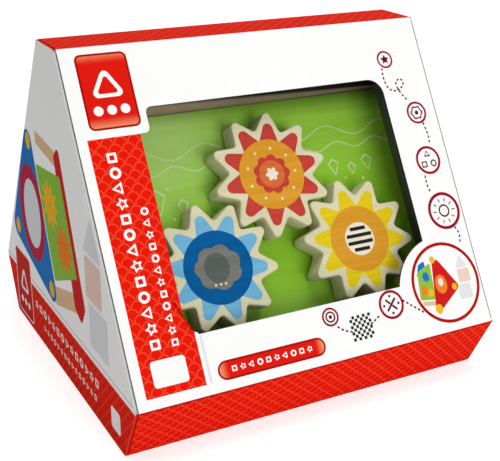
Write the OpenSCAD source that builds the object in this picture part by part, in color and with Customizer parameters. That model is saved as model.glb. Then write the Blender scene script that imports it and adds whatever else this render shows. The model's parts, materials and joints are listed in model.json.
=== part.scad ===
// Wooden activity prism in its display carton. The carton is one folded board wrap with a
// sloped front and an open window; a tuck flap closes each end. Behind the window a wooden
// panel carries three star gears that mesh and turn by hand on pegs.
// Millimetres, +Z up, the front looks towards -Y, origin under the middle of the base.

/* [Carton] */
// Length of the carton from end to end
carton_length = 260; // [250:1:300]
// Height of the carton
carton_height = 226.5; // [215:0.5:245]
// Depth of the narrow top
top_depth = 34.5; // [30:0.5:42]
// Depth at the widest line, where the front and back slopes start
widest_depth = 263; // [250:1:285]
// Height of the widest line above the base
widest_height = 40.5; // [34:0.5:48]
// Depth of the base
base_depth = 222; // [205:1:240]
// Thickness of the board
board = 1.5; // [1:0.1:2]
// Outside radius of a fold in the board
fold_radius = 2; // [2:0.1:4]
// Width of the glue flap that closes the wrap inside the back
glue_flap_width = 16; // [10:1:24]

/* [Window] */
// Reach of the window to the left of the middle
window_left = 88.5; // [70:0.5:105]
// Reach of the window to the right of the middle
window_right = 90.3; // [70:0.1:105]
// Lower edge of the window, measured up the front from the lower fold
window_low = 36.4; // [28:0.2:50]
// Upper edge of the window, measured the same way
window_high = 177; // [160:0.5:190]
// Radius of the lower left and upper right corners
window_corner = 11; // [4:0.5:20]
// Width of the step in the upper left corner
step_width = 6.7; // [3:0.1:12]
// Height of the step below the upper edge
step_height = 16; // [10:0.5:24]
// Radius of the corners of the step
step_radius = 3.8; // [1:0.1:6]
// Radius of the round bite in the lower right corner
bite_radius = 38.5; // [30:0.5:44]
// Distance of the bite's centre to the right of the middle
bite_across = 100.4; // [95:0.1:106]
// Distance of the bite's centre up from the lower fold
bite_up = 25.5; // [20:0.5:32]

/* [End flaps] */
// Gap between an end flap and the cut ends of the wrap
flap_gap = 0.3; // [0.2:0.05:0.6]
// Distance of an end flap's free edges inside the carton's outline
flap_inset = 0.4; // [0.2:0.1:1]
// Diameter of the bead that the board makes where an end flap folds
crease_d = 1.3; // [0.8:0.1:1.4]
// Length of the tuck tab inside the carton
tuck_length = 18; // [12:1:22]
// Gap between the tuck tab and the inside of the back
tuck_gap = 1.2; // [1:0.1:1.6]
// Free stretch of the back edge above the tuck tab
tuck_above = 55; // [45:1:80]
// Free stretch of the back edge below the tuck tab
tuck_below = 20; // [10:1:40]
// Slant of the tuck tab's corners
tuck_slant = 14; // [6:1:20]
// Width of a dust flap folded up from the base
base_dust_width = 170; // [120:1:185]
// Height of that dust flap
base_dust_height = 55; // [30:1:70]
// Width of a dust flap folded down from the top
top_dust_width = 26; // [16:1:28]
// Height of that dust flap
top_dust_height = 32; // [16:1:40]
// Draw-in of each dust flap's sides
dust_slant = 6; // [2:0.5:7]

/* [Toy frame] */
// Room between the toy and the inside of the carton's slopes, bands and top
toy_gap = 3.5; // [3:0.1:5]
// Room between the toy's corner caps and the dust flaps at each end
end_room = 1.7; // [0.5:0.1:6]
// Thickness of an end panel
end_panel_t = 12; // [11:0.5:16]
// Diameter of the carrying dowel in the top corner
handle_d = 27; // [22:0.5:30]
// Distance of the carrying dowel below the centre of the top corner's round
handle_drop = 9.3; // [5:0.1:10.5]
// Diameter of the two lower dowels
lower_dowel_d = 24; // [18:0.5:26]
// Depth of the dowels' sockets in the end panels
socket_depth = 4; // [3:0.5:5]
// Radial room of a dowel in its socket
socket_fit = 0.1; // [0.05:0.05:0.2]
// Thickness of the long panels
panel_t = 9; // [6:0.5:10]
// Distance of the long panels' outer faces inside the end panels' edges
panel_inset = 28; // [24:0.5:30]
// Depth of the grooves that hold the long panels
groove_depth = 4; // [2:0.5:6]
// Room of a long panel in its grooves, on each face
groove_fit = 0.15; // [0.1:0.05:0.3]
// Gap between a long panel's edge and the dowel beside it
edge_gap = 0.5; // [0.3:0.1:1]

/* [Fixings] */
// Diameter of the assembly screws
screw_d = 5; // [4:0.5:6]
// Length of a screw under its head
screw_length = 35; // [25:1:45]
// Diameter of a screw head
screw_head_d = 10; // [8:0.5:12]
// Height of a screw head
screw_head_t = 3; // [2:0.5:3.5]
// Room round a screw in the wood
screw_fit = 0.1; // [0.05:0.05:0.2]
// Diameter of the counterbore for a screw head
counterbore_d = 14; // [13:0.5:18]
// Depth of the counterbore
counterbore_depth = 4.5; // [4:0.5:5.5]
// Diameter of a corner cap
cap_d = 36; // [26:1:44]
// Height of a corner cap over the end panel
cap_t = 6; // [4:0.5:6.5]
// Radius of a corner cap's outer edge
cap_round = 3; // [1:0.5:3.5]
// Gap between a corner cap's plug and the screw head and counterbore
plug_gap = 0.2; // [0.1:0.05:0.3]

/* [Mirror] */
// Diameter of the mirror
mirror_d = 84; // [60:1:90]
// Thickness of the mirror
mirror_t = 2; // [1.5:0.5:3]
// Outer diameter of the ring that holds the mirror
ring_d = 104; // [96:1:112]
// Overlap of the ring on the mirror's rim
ring_lap = 3; // [2:0.5:5]
// Height of the ring over the end panel
ring_t = 3.5; // [3:0.5:4.5]
// Radius of the ring's edges
ring_round = 1.5; // [0.5:0.5:1.5]
// Height of the mirror's centre above the base
mirror_height = 88; // [80:1:96]

/* [Gears] */
// Number of teeth on each gear
teeth = 10; // [9:1:11]
// Room between the lower gears' tips and the end panels
gear_side_room = 13; // [8:0.5:18]
// Room between the upper gear's tips and the gear panel's upper edge
gear_top_room = 11; // [6:0.5:16]
// Reach of the lower gears' tips past the gear panel's lower edge
gear_low_reach = 3.5; // [0:0.5:5]
// Height of a tooth from valley to tip
tooth_height = 11.2; // [9.5:0.1:12]
// Radius of a tooth's round tip
tooth_tip_r = 3.2; // [2.6:0.1:4.2]
// Radius of a valley's round bottom
tooth_valley_r = 2.4; // [2:0.1:3.4]
// Clearance from a tip to the bottom of the valley that it runs in
mesh_gap = 2.4; // [2.2:0.1:3]
// Turn of the upper gear at rest
upper_gear_turn = 9; // [0:1:35]
// Thickness of a gear
gear_t = 16; // [12:0.5:18]
// Diameter of a gear's peg
peg_d = 10; // [8:0.5:12]
// Depth of the peg's blind hole in the gear
peg_depth = 12; // [8:0.5:12]
// Radial room of the peg in the gear panel, where it turns
peg_run = 0.08; // [0.04:0.01:0.1]
// Radial room for glue round the peg in the gear
peg_glue = 0.05; // [0.03:0.01:0.1]
// Diameter of the peg's head behind the gear panel
peg_head_d = 22; // [16:0.5:26]
// Thickness of the peg's head
peg_head_t = 5; // [3:0.5:6]
// Diameter of the spacer washer under a gear
washer_d = 26; // [18:0.5:32]
// Thickness of the spacer washer
washer_t = 1.8; // [1:0.1:3]
// Radial room of the washer round the peg
washer_room = 0.4; // [0.3:0.1:0.8]
// End play of a gear between the washer and the gear panel
end_play = 0.2; // [0.1:0.05:0.5]

/* [Hidden] */
$fn = 64;
// overrun of a cutting tool past a face
past = 1;

// the sloped front and back
slope_run = (widest_depth - top_depth) / 2;
slope_rise = carton_height - widest_height;
slope_length = norm([slope_run, slope_rise]);
slope_angle = atan2(slope_rise, slope_run);
half_apex = 90 - slope_angle;

// the carton's section, as points of Y and Z
section = [
    [-base_depth / 2, 0],
    [base_depth / 2, 0],
    [widest_depth / 2, widest_height],
    [top_depth / 2, carton_height],
    [-top_depth / 2, carton_height],
    [-widest_depth / 2, widest_height]
];
fold_inside = max(fold_radius - board, 0.3);
flap_inner = carton_length / 2 - board;
wrap_end = flap_inner - flap_gap;

// inward normal of the edge from a to b of an outline that runs anticlockwise
function edge_normal(a, b) = [a.y - b.y, b.x - a.x] / norm(b - a);

// an outline moved inwards by a distance
function inset(points, distance) =
    let (n = len(points))
    [for (i = [0 : n - 1])
        let (before = edge_normal(points[(i + n - 1) % n], points[i]))
        let (after = edge_normal(points[i], points[(i + 1) % n]))
        points[i] + distance * (before + after) / (1 + before * after)];

// depth of a point of Y and Z behind the carton's front, and its distance up the front
function front_depth(p) =
    (p.x + widest_depth / 2) * sin(slope_angle) - (p.y - widest_height) * cos(slope_angle);
function front_up(p) =
    (p.x + widest_depth / 2) * cos(slope_angle) + (p.y - widest_height) * sin(slope_angle);

// the toy's triangle: its corners are rounds that keep the same room to the carton on three sides
toy_depth = board + toy_gap;
apex_z = widest_height + widest_depth / 2 * tan(slope_angle) - toy_depth / sin(half_apex);
toy_top_z = carton_height - board - toy_gap;
top_round_r = (apex_z - toy_top_z) / (1 / sin(half_apex) - 1);
top_round_at = [0, toy_top_z - top_round_r];

// the lower round of radius r touches the base and the front slope; its centre moves evenly with r
function low_round_at(r) =
    [-widest_depth / 2
        + (toy_depth + r + (board + r - widest_height) * cos(slope_angle)) / sin(slope_angle),
     board + r];
band_inward = edge_normal(section[5], section[0]);
function band_room(r) = (low_round_at(r) - section[0]) * band_inward - r;
low_round_r = (toy_depth - band_room(0)) / (band_room(1) - band_room(0));
front_round_at = low_round_at(low_round_r);
rear_round_at = [-front_round_at.x, front_round_at.y];

// dowels, as points of Y and Z
handle_at = top_round_at - [0, handle_drop];
dowel_places = [handle_at, front_round_at, rear_round_at];
dowel_sizes = [handle_d, lower_dowel_d, lower_dowel_d];

// end panels along X
end_outer = wrap_end - board - end_room - cap_t;
end_inner = end_outer - end_panel_t;
dowel_half = end_inner + socket_depth;
counterbore_floor = end_outer - counterbore_depth;

// the long panels
panel_depth = toy_depth + panel_inset;
panel_half = end_inner + groove_depth - groove_fit;
panel_high = front_up(handle_at) - handle_d / 2 - edge_gap;
panel_low = front_up(front_round_at) + lower_dowel_d / 2 + edge_gap;
base_panel_z = board + panel_inset;
base_panel_half = rear_round_at.x - lower_dowel_d / 2 - edge_gap;

// three like gears fill the panel: the way from the upper axis to a lower one is as long as the gears
// need to mesh, so their radius r solves (train_across - r)^2 + (train_up - 2 r)^2 = (2 r - mesh_lap)^2
train_across = end_inner - gear_side_room;
train_up = panel_high - gear_top_room - panel_low + gear_low_reach;
mesh_lap = tooth_height - mesh_gap;
train_sum = train_across + 2 * train_up - 2 * mesh_lap;
gear_tip_r = train_sum - sqrt(train_sum ^ 2 - train_across ^ 2 - train_up ^ 2 + mesh_lap ^ 2);
gear_root_r = gear_tip_r - tooth_height;

// gear axes, as distances across and up the front
lower_across = train_across - gear_tip_r;
lower_drop = train_up - 2 * gear_tip_r;
mesh_angle = atan2(lower_drop, lower_across);
upper_axis = [0, panel_high - gear_top_room - gear_tip_r];
lower_left_axis = upper_axis - [lower_across, lower_drop];
lower_right_axis = upper_axis + [lower_across, -lower_drop];

// turn that puts a valley of a follower on a tooth of the upper gear, in a given direction
function meshed_turn(direction) = 2 * direction + 180 + 180 / teeth - upper_gear_turn;
lower_left_turn = meshed_turn(180 + mesh_angle);
lower_right_turn = meshed_turn(-mesh_angle);

// depths behind the carton's front
washer_depth = panel_depth - washer_t;
gear_back_depth = washer_depth - end_play;
peg_tip_depth = gear_back_depth - peg_depth + plug_gap;
peg_head_depth = panel_depth + panel_t + end_play;

// one tooth: a tip round, a valley round and the straight flank that touches both
half_pitch = 180 / teeth;
tip_at = [gear_tip_r - tooth_tip_r, 0];
valley_at = (gear_root_r + tooth_valley_r) * [cos(half_pitch), sin(half_pitch)];
tip_to_valley = valley_at - tip_at;
flank_angle = atan2(tip_to_valley.y, tip_to_valley.x)
    - acos((tooth_tip_r + tooth_valley_r) / norm(tip_to_valley));
tooth_steps = 8;

// points along a round from one direction to another
function arc(centre, r, from, to, steps) =
    [for (i = [0 : steps])
        let (a = from + (to - from) * i / steps)
        centre + r * [cos(a), sin(a)]];

function turned(p, angle) = [p.x * cos(angle) - p.y * sin(angle), p.x * sin(angle) + p.y * cos(angle)];

// quarter round of radius r from the right side to the top of a profile, about a centre
function quarter_round(centre, r) = arc(centre, r, 0, 90, 6);

module along_x(from, to) {
    translate([from, 0, 0])
        rotate([90, 0, 90])
            linear_extrude(to - from)
                children();
}

module rod_x(at, d, from, to) {
    translate([from, at.x, at.y])
        rotate([0, 90, 0])
            cylinder(d = d, h = to - from);
}

// children lie on the front: X across, Y up the slope, Z outwards, at a depth behind the board's face
module on_front(depth) {
    translate([0, -widest_depth / 2, widest_height])
        rotate([slope_angle, 0, 0])
            translate([0, 0, -depth])
                children();
}

module on_back(depth) {
    mirror([0, 1, 0])
        on_front(depth)
            children();
}

// children made for the right end (+1), mirrored for the left end (-1)
module at_end(side) {
    mirror([side < 0 ? 1 : 0, 0, 0])
        children();
}

// a convex outline with rounds of radius r at all its corners
module rounded_outline(points, r) {
    n = len(points);
    centres = inset(points, r);
    polygon([for (i = [0 : n - 1])
        for (k = [n - 1, 0])
            centres[i] - r * edge_normal(points[(i + k) % n], points[(i + k + 1) % n])]);
    for (c = centres)
        translate(c)
            circle(r);
}

// a rectangle with its own radius at each corner: lower left, lower right, upper right, upper left
module corner_plate(low, high, radii) {
    corners = [low, [high.x, low.y], high, [low.x, high.y]];
    inwards = [[1, 1], [-1, 1], [-1, -1], [1, -1]];
    difference() {
        translate(low)
            square(high - low);
        for (i = [0 : 3])
            if (radii[i] > 0)
                difference() {
                    translate(corners[i] + inwards[i] * (radii[i] - past) / 2)
                        square(radii[i] + past, center = true);
                    translate(corners[i] + inwards[i] * radii[i])
                        circle(radii[i]);
                }
    }
}

module window_outline() {
    step_x = step_width - window_left;
    step_y = window_high - step_height;
    difference() {
        union() {
            corner_plate([-window_left, window_low], [window_right, step_y], [window_corner, 0, 0, 0]);
            corner_plate([step_x, window_low], [window_right, window_high],
                [0, 0, window_corner, step_radius]);
            difference() {
                translate([step_x - step_radius, step_y - past])
                    square([step_radius + past, step_radius + past]);
                translate([step_x - step_radius, step_y + step_radius])
                    circle(step_radius);
            }
        }
        translate([bite_across, bite_up])
            circle(bite_radius);
    }
}

module carton_wrap() {
    inside = inset(section, board);
    glue_half = flap_inner - tuck_length - board;
    color("white") {
        difference() {
            along_x(-wrap_end, wrap_end)
                rounded_outline(section, fold_radius);
            along_x(-wrap_end - past, wrap_end + past)
                rounded_outline(inside, fold_inside);
            on_front(board + past)
                linear_extrude(board + 2 * past)
                    window_outline();
        }
        on_back(2 * board)
            translate([-glue_half, 2 * board, 0])
                cube([2 * glue_half, glue_flap_width, board + board / 10]);
    }
}

// an end flap turns on the bead of its fold along the front edge and tucks in behind the back
module end_flap(side) {
    fold_at = board / 2;
    tuck_low = tuck_below;
    tuck_high = slope_length - tuck_above;
    tuck_tip = flap_inner - tuck_length;
    color("whitesmoke")
        at_end(side) {
            along_x(flap_inner, carton_length / 2)
                difference() {
                    polygon(inset(section, flap_inset));
                    translate([-widest_depth / 2, widest_height])
                        rotate(slope_angle)
                            translate([-slope_length, -fold_at])
                                square([3 * slope_length, slope_length]);
                }
            on_front(fold_at)
                translate([carton_length / 2 - fold_at, fold_radius, 0])
                    rotate([-90, 0, 0])
                        cylinder(d = crease_d, h = slope_length - 2 * fold_radius);
            on_back(2 * board + tuck_gap)
                linear_extrude(board)
                    polygon([
                        [flap_inner + board / 2, tuck_low],
                        [flap_inner + board / 2, tuck_high],
                        [flap_inner, tuck_high],
                        [tuck_tip, tuck_high - tuck_slant],
                        [tuck_tip, tuck_low + tuck_slant],
                        [flap_inner, tuck_low]
                    ]);
        }
}

// a dust flap between two heights, wider at its fold
module dust_flap(side, width, fold_z, free_z) {
    color("lightgray")
        at_end(side)
            along_x(wrap_end - board, wrap_end)
                polygon([
                    [-width / 2, fold_z],
                    [width / 2, fold_z],
                    [width / 2 - dust_slant, free_z],
                    [dust_slant - width / 2, free_z]
                ]);
}

module dust_flap_base(side) {
    dust_flap(side, base_dust_width, board, board + base_dust_height);
}

module dust_flap_top(side) {
    inner_top = carton_height - board;
    dust_flap(side, top_dust_width, inner_top, inner_top - top_dust_height);
}

// the rounded triangle of an end panel: three rounds and the straight edges between them
module toy_outline() {
    slope_out = [-sin(slope_angle), cos(slope_angle)];
    left = [
        top_round_at + top_round_r * slope_out,
        front_round_at + low_round_r * slope_out,
        front_round_at - [0, low_round_r]
    ];
    right = [for (i = [2 : -1 : 0]) [-left[i].x, left[i].y]];
    polygon(concat(left, right));
    translate(top_round_at)
        circle(top_round_r);
    for (at = [front_round_at, rear_round_at])
        translate(at)
            circle(low_round_r);
}

// a long panel on the front, grown by a room on every face but along X
module front_panel(half_length, room) {
    on_front(panel_depth + panel_t + room)
        translate([-half_length, panel_low - room, 0])
            cube([2 * half_length, panel_high - panel_low + 2 * room, panel_t + 2 * room]);
}

module lying_panel(half_length, room) {
    translate([-half_length, -base_panel_half - room, base_panel_z - room])
        cube([2 * half_length, 2 * (base_panel_half + room), panel_t + 2 * room]);
}

// an end panel with dowel sockets, screw holes and grooves for the long panels
module end_panel(side) {
    at_end(side)
        difference() {
            along_x(end_inner, end_outer)
                toy_outline();
            for (i = [0 : 2]) {
                rod_x(dowel_places[i], dowel_sizes[i] + 2 * socket_fit, end_inner - past, dowel_half);
                rod_x(dowel_places[i], screw_d + 2 * screw_fit, end_inner, end_outer + past);
                rod_x(dowel_places[i], counterbore_d, counterbore_floor, end_outer + past);
            }
            groove_end = end_inner + groove_depth;
            front_panel(groove_end, groove_fit);
            mirror([0, 1, 0])
                front_panel(groove_end, groove_fit);
            lying_panel(groove_end, groove_fit);
        }
}

module end_panel_left() {
    color("royalblue")
        difference() {
            end_panel(-1);
            rod_x([0, mirror_height], mirror_d + 2 * plug_gap, -end_outer - past, mirror_t - end_outer);
        }
}

module end_panel_right() {
    color("firebrick")
        end_panel(1);
}

// a dowel between the sockets, drilled at both ends for the screws
module dowel(at, d) {
    drill_from = counterbore_floor - screw_length - plug_gap;
    color("burlywood")
        difference() {
            rod_x(at, d, -dowel_half, dowel_half);
            for (side = [-1, 1])
                at_end(side)
                    rod_x(at, screw_d + 2 * screw_fit, drill_from, dowel_half + past);
        }
}

module gear_panel() {
    color("yellowgreen")
        difference() {
            front_panel(panel_half, 0);
            for (axis = [upper_axis, lower_left_axis, lower_right_axis])
                on_front(panel_depth + panel_t + past)
                    translate(axis)
                        cylinder(d = peg_d + 2 * peg_run, h = panel_t + 2 * past);
        }
}

module rear_panel() {
    color("tan")
        mirror([0, 1, 0])
            front_panel(panel_half, 0);
}

module base_panel() {
    color("tan")
        lying_panel(panel_half, 0);
}

module screws(side) {
    color("silver")
        at_end(side)
            for (at = dowel_places) {
                rod_x(at, screw_d, counterbore_floor - screw_length, counterbore_floor + screw_head_t / 2);
                rod_x(at, screw_head_d, counterbore_floor, counterbore_floor + screw_head_t);
            }
}

// a domed cap with a plug in the counterbore, over the screw head
module corner_caps(side) {
    plug_r = counterbore_d / 2 - plug_gap;
    plug_t = counterbore_depth - screw_head_t - plug_gap;
    edge = quarter_round([cap_d / 2 - cap_round, cap_t - cap_round], cap_round);
    color("gold")
        at_end(side)
            for (at = dowel_places)
                translate([end_outer, at.x, at.y])
                    rotate([0, 90, 0])
                        rotate_extrude()
                            polygon(concat(
                                [[0, -plug_t], [plug_r, -plug_t], [plug_r, 0], [cap_d / 2, 0]],
                                edge,
                                [[0, cap_t]]
                            ));
}

module mirror_disc() {
    color("lightsteelblue")
        rod_x([0, mirror_height], mirror_d, -end_outer, mirror_t - end_outer);
}

// a ring with eased edges that laps over the mirror's rim
module mirror_ring() {
    outer_r = ring_d / 2;
    inner_r = mirror_d / 2 - ring_lap;
    outer_edge = quarter_round([outer_r - ring_round, ring_t - ring_round], ring_round);
    inner_edge = [for (p = quarter_round([0, ring_t - ring_round], ring_round))
        [inner_r + ring_round - p.x, p.y]];
    inner_back = [for (i = [len(inner_edge) - 1 : -1 : 0]) inner_edge[i]];
    color("tomato")
        translate([-end_outer, 0, mirror_height])
            rotate([0, -90, 0])
                rotate_extrude()
                    polygon(concat([[inner_r, 0], [outer_r, 0]], outer_edge, inner_back));
}

// the star outline: a round tip and a round valley for each tooth, with the flanks between them
module gear_outline() {
    pitch = 2 * half_pitch;
    tooth = concat(
        arc(tip_at, tooth_tip_r, -flank_angle, flank_angle, tooth_steps),
        arc(valley_at, tooth_valley_r, 180 + flank_angle, 180 + pitch - flank_angle, tooth_steps)
    );
    polygon([for (i = [0 : teeth - 1])
        for (p = tooth)
            turned(p, i * pitch)]);
}

// a wooden star gear with a blind hole for its peg in the back
module star_gear(axis, turn) {
    color("wheat")
        on_front(gear_back_depth)
            translate(axis)
                difference() {
                    rotate(turn)
                        linear_extrude(gear_t)
                            gear_outline();
                    translate([0, 0, -past])
                        cylinder(d = peg_d + 2 * peg_glue, h = peg_depth + past);
                }
}

// a peg glued in a gear, with its head behind the gear panel
module peg(axis) {
    color("burlywood")
        on_front(peg_head_depth)
            translate(axis) {
                cylinder(d = peg_d, h = peg_head_depth - peg_tip_depth);
                translate([0, 0, -peg_head_t])
                    cylinder(d = peg_head_d, h = peg_head_t);
            }
}

module washer(axis) {
    color("gainsboro")
        on_front(panel_depth)
            translate(axis)
                difference() {
                    cylinder(d = washer_d, h = washer_t);
                    translate([0, 0, -past])
                        cylinder(d = peg_d + 2 * washer_room, h = washer_t + 2 * past);
                }
}

carton_wrap();
end_flap(-1);  // end_flap_left
end_flap(1);  // end_flap_right
dust_flap_base(-1);  // dust_flap_base_left
dust_flap_base(1);  // dust_flap_base_right
dust_flap_top(-1);  // dust_flap_top_left
dust_flap_top(1);  // dust_flap_top_right
end_panel_left();
end_panel_right();
dowel(handle_at, handle_d);  // handle_dowel
dowel(front_round_at, lower_dowel_d);  // lower_dowel_front
dowel(rear_round_at, lower_dowel_d);  // lower_dowel_rear
gear_panel();
rear_panel();
base_panel();
screws(-1);  // screws_left
screws(1);  // screws_right
corner_caps(-1);  // corner_caps_left
corner_caps(1);  // corner_caps_right
mirror_disc();  // mirror
mirror_ring();
star_gear(upper_axis, upper_gear_turn);  // gear_upper
star_gear(lower_left_axis, lower_left_turn);  // gear_lower_left
star_gear(lower_right_axis, lower_right_turn);  // gear_lower_right
peg(upper_axis);  // peg_upper
peg(lower_left_axis);  // peg_lower_left
peg(lower_right_axis);  // peg_lower_right
washer(upper_axis);  // washer_upper
washer(lower_left_axis);  // washer_lower_left
washer(lower_right_axis);  // washer_lower_right
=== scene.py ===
"""Looks of a wooden activity toy in its display carton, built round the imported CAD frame."""
import json

import bmesh
import bpy
import numpy as np
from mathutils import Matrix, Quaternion, Vector


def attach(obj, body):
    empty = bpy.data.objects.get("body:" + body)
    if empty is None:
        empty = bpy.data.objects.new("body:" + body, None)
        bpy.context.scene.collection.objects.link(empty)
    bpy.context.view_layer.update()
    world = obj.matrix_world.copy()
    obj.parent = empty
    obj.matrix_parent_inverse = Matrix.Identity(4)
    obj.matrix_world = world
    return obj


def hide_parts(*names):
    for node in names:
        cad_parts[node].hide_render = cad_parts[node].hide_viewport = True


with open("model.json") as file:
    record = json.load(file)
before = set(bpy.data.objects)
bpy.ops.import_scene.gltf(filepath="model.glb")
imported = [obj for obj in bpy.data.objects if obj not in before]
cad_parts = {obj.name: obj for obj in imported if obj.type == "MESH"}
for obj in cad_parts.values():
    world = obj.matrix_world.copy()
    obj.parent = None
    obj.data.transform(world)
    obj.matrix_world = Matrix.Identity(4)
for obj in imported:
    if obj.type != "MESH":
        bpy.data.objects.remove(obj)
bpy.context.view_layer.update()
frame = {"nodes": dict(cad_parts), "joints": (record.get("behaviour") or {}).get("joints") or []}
nodes = frame["nodes"]

# Rails and hidden panels: three turned beech rails join the toy's ends, and birch ply closes its back and
# base. All of it is bare wood, sanded and sealed, with the grain along the toy. Screws hold the rails to
# the ends. The upper rail has painted shade: darker tones than the others, and a near-black tone on its
# front and towards the right.
MM = 0.001
carton_height, widest_height = 226.5, 40.5
top_depth, widest_depth = 34.5, 263.0
slope = np.array([(widest_depth - top_depth) / 2, carton_height - widest_height])
slope_cos, slope_sin = slope / np.hypot(*slope)
front_tilt = -np.arctan2(slope_sin, slope_cos)
front_reach = -np.dot((widest_depth / 2, widest_height), (slope_sin, slope_cos))
rail_shade_from, rail_shade_to, rail_shade_lean = 26.4, 28.4, 0.028
dark_from, dark_to, dark_share = -30.0, 110.0, 0.6
ply_tones = ("#DCC79E", "#C8AC7C")


def ink(code):
    """An sRGB hex colour as linear RGBA: a straight line up to 0.04045, a power of 2.4 above it."""
    srgb = np.array([int(code[i:i + 2], 16) for i in (1, 3, 5)]) / 255
    linear = np.where(srgb <= 0.04045, srgb / 12.92, ((srgb + 0.055) / 1.055) ** 2.4)
    return (*linear.tolist(), 1.0)


def connect(made, inputs):
    """Sets a node's inputs, by name or place. Each gets a value, a hex colour, the socket that feeds it,
    or a node, which feeds it from its first live output."""
    for key, value in inputs.items():
        if isinstance(value, bpy.types.Node):
            value = next(output for output in value.outputs if output.enabled)
        if isinstance(value, bpy.types.NodeSocket):
            made.id_data.links.new(value, made.inputs[key])
        else:
            made.inputs[key].default_value = ink(value) if isinstance(value, str) else value


def add(tree, kind, inputs, **settings):
    """Adds a shader node with its own settings and its inputs."""
    made = tree.nodes.new("ShaderNode" + kind)
    for name, value in settings.items():
        setattr(made, name, value)
    connect(made, inputs)
    return made


def surface(name, values):
    """A new material whose shader has these constant values. Gives it with its tree and its shader."""
    material = bpy.data.materials.new(name)
    material.use_nodes = True
    shader = material.node_tree.nodes["Principled BSDF"]
    connect(shader, values)
    return material, material.node_tree, shader


def dress(material, *names):
    """Puts a material on CAD nodes, in place of the plain one that they came with."""
    for name in names:
        for place in nodes[name].material_slots:
            place.material = material


def grain(tree, tilt, band):
    """Wood grain along X in a plane tilted about X. Bands of a few millimetres and fibres of 0.5 mm,
    coarser than real ones so that they show, are noise drawn out twenty times along the grain. Gives the
    share of dark wood and the fibres."""
    place = add(tree, "TexCoord", {}).outputs["Object"]
    lie = add(tree, "Mapping", {"Vector": place, "Rotation": (tilt, 0, 0), "Scale": (1 / 20, 1, 1)})
    bands = add(tree, "TexNoise", {"Vector": lie, "Scale": 1 / (band * MM), "Detail": 2, "Distortion": 0.4})
    fibres = add(tree, "TexNoise", {"Vector": lie, "Scale": 1 / (0.5 * MM), "Detail": 3})
    both = add(tree, "Math", {0: fibres, 1: 0.4, 2: bands}, operation="MULTIPLY_ADD")
    return add(tree, "MapRange", {"Value": both, "From Min": 0.5, "From Max": 0.95}), fibres


def bare_wood(name, tones, tilt=0.0, band=5.0, shade_tone=None):
    """Sanded and sealed wood: bands and fibres of two tones, and fibres that stand out a few hundredths.
    A tone of painted shade takes over near the sloped front, down to a depth in millimetres that grows
    towards the right, and takes a growing share of the rest from one place across the toy to another."""
    material, tree, shader = surface(name, {"Roughness": 0.5, "Specular IOR Level": 0.12})
    dark, fibres = grain(tree, tilt, band)
    colour = add(tree, "Mix", {0: dark, 6: tones[0], 7: tones[1]}, data_type="RGBA")
    if shade_tone:
        place = add(tree, "TexCoord", {}).outputs["Object"]
        depth = add(tree, "VectorMath", {0: place, 1: (-rail_shade_lean, slope_sin, -slope_cos)},
                    operation="DOT_PRODUCT")
        near = add(tree, "MapRange", {"Value": depth, "From Min": (front_reach + rail_shade_from) * MM,
                                      "From Max": (front_reach + rail_shade_to) * MM,
                                      "To Min": 1.0, "To Max": 0.0})
        across = add(tree, "SeparateXYZ", {0: place}).outputs["X"]
        right = add(tree, "MapRange", {"Value": across, "From Min": dark_from * MM,
                                       "From Max": dark_to * MM, "To Max": dark_share})
        rail_shade = add(tree, "Math", {0: near, 1: right}, operation="MAXIMUM")
        colour = add(tree, "Mix", {0: rail_shade, 6: colour, 7: shade_tone}, data_type="RGBA")
    bump = add(tree, "Bump", {"Height": fibres, "Strength": 0.12, "Distance": 0.2 * MM})
    connect(shader, {"Base Color": colour, "Normal": bump})
    return material


beech = bare_wood("sealed_beech", ("#BDAE8E", "#A3916E"))
dress(beech, "lower_dowel_front", "lower_dowel_rear")
# The upper rail's darker tones and its near-black tone are painted shade.
dress(bare_wood("beech_with_painted_shade", ("#A3957D", "#8C7D64"), shade_tone="#14110D"), "handle_dowel")
dress(bare_wood("sealed_birch_ply", ply_tones, band=9.0), "rear_panel", "base_panel")

# End panels: rounded triangles of 12 mm board, one blue and one red, with satin paint on the outside and
# the edges. Their inner faces, which look into the toy, carry dark painted shade.
inner_shade_tones = ("#52554A", "#606358")


def painted_wood(name, tones, inside=None):
    """Satin paint rolled on wood: two close tones over 25 mm and an orange-peel bump of 1.2 mm. With inside
    tones of painted shade, the faces that look towards the toy's middle from over 50 mm along X carry
    those, with tones over 8 mm."""
    material, tree, shader = surface(name, {"Roughness": 0.38, "Specular IOR Level": 0.35})
    coords = add(tree, "TexCoord", {}).outputs
    cloud = add(tree, "TexNoise", {"Vector": coords["Object"], "Scale": 1 / (25 * MM), "Detail": 3})
    peel = add(tree, "TexNoise", {"Vector": coords["Object"], "Scale": 1 / (1.2 * MM), "Detail": 2})
    colour = add(tree, "Mix", {0: cloud, 6: tones[0], 7: tones[1]}, data_type="RGBA")
    # Painted shade on the faces that look into the toy.
    if inside:
        along = add(tree, "VectorMath", {0: coords["Object"], 1: (1, 0, 0)}, operation="MULTIPLY")
        facing = add(tree, "VectorMath", {0: along, 1: coords["Normal"]}, operation="DOT_PRODUCT")
        inward = add(tree, "MapRange", {"Value": facing, "From Min": -50 * MM, "From Max": -60 * MM})
        streak = add(tree, "TexNoise", {"Vector": coords["Object"], "Scale": 1 / (8 * MM), "Detail": 4})
        inner_shaded = add(tree, "Mix", {0: streak, 6: inside[0], 7: inside[1]}, data_type="RGBA")
        colour = add(tree, "Mix", {0: inward, 6: colour, 7: inner_shaded}, data_type="RGBA")
    bump = add(tree, "Bump", {"Height": peel, "Strength": 0.05, "Distance": 0.3 * MM})
    connect(shader, {"Base Color": colour, "Normal": bump})
    return material


dress(painted_wood("blue_satin_paint", ("#0E5FAE", "#1468B8"), inner_shade_tones), "end_panel_left")
dress(painted_wood("red_satin_paint", ("#C41A14", "#CE231A"), inner_shade_tones), "end_panel_right")

# Fixings on the ends: zinc-plated screws drive through each panel into the rails, and yellow wooden caps
# glued over the heads close the corners. A round mirror of silvered sheet sits on the blue end in a
# painted red ring.


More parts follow.
